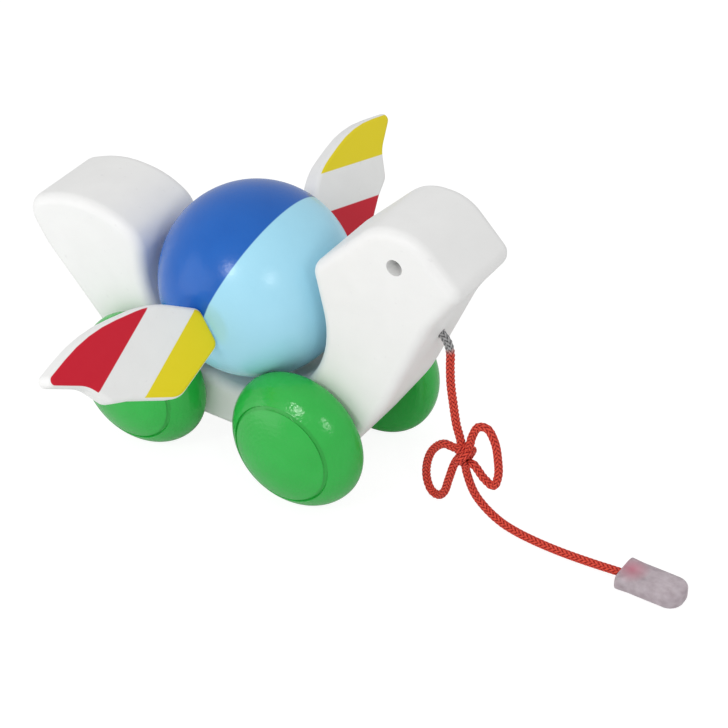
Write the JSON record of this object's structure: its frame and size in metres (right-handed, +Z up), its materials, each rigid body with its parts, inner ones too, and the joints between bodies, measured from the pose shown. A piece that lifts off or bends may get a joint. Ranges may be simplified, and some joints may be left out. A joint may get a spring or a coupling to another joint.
{
  "type": "pull along toy",
  "caption": "Wooden pull-along bird: a sawn board body on wheels that turn a big ball in its cradle, so the wings pegged to the ball go round, with a braided pull cord.",
  "frame": {"origin": "on the floor, below the middle of the body's length and width", "axes": "+X forward, towards the beak; +Y to the bird's left; +Z up"},
  "size_m": [0.2624, 0.2026, 0.1192],
  "materials": {
    "white_painted_wood": "satin white paint on wood",
    "green_painted_wood": "glossy green enamel on turned wood",
    "blue_painted_wood": "glossy enamel on turned wood, one half dark blue and one half light blue",
    "striped_painted_wood": "satin white paint with painted stripes",
    "bare_beech": "bare dowel",
    "red_braided_cord": "braided synthetic cord",
    "clear_plastic": "frosted clear moulding"
  },
  "bodies": {
    "bird_body": {"body": "white_painted_wood", "pull_cord_upper": "red_braided_cord", "bow_knot": "red_braided_cord", "bow_loop_rear": "red_braided_cord", "bow_loop_front": "red_braided_cord", "pull_cord_lower": "red_braided_cord", "cord_end_tab": "clear_plastic"},
    "front_wheelset": {"front_axle": "bare_beech", "front_left_wheel": "green_painted_wood", "front_right_wheel": "green_painted_wood"},
    "rear_wheelset": {"rear_axle": "bare_beech", "rear_left_wheel": "green_painted_wood", "rear_right_wheel": "green_painted_wood"},
    "ball_and_wings": {"ball": "blue_painted_wood", "left_wing_peg": "bare_beech", "right_wing_peg": "bare_beech", "left_wing": "striped_painted_wood", "right_wing": "striped_painted_wood"}
  },
  "joints": [
    {"name": "front_axle_spin", "type": "hinge", "parent": "bird_body", "child": "front_wheelset", "pos_m": [0.03178, 0, 0.026], "axis": [0, 1, 0], "continuous": true},
    {"name": "rear_axle_spin", "type": "hinge", "parent": "bird_body", "child": "rear_wheelset", "pos_m": [-0.03522, 0, 0.026], "axis": [0, 1, 0], "continuous": true},
    {"name": "ball_spin", "type": "hinge", "parent": "bird_body", "child": "ball_and_wings", "pos_m": [-0.00172, 0, 0.06723], "axis": [0, 1, 0], "continuous": true}
  ],
  "couplings": [
    {"joint": "rear_axle_spin", "follows": "front_axle_spin", "ratio": 1},
    {"joint": "ball_spin", "follows": "front_axle_spin", "ratio": -0.8932}
  ]
}
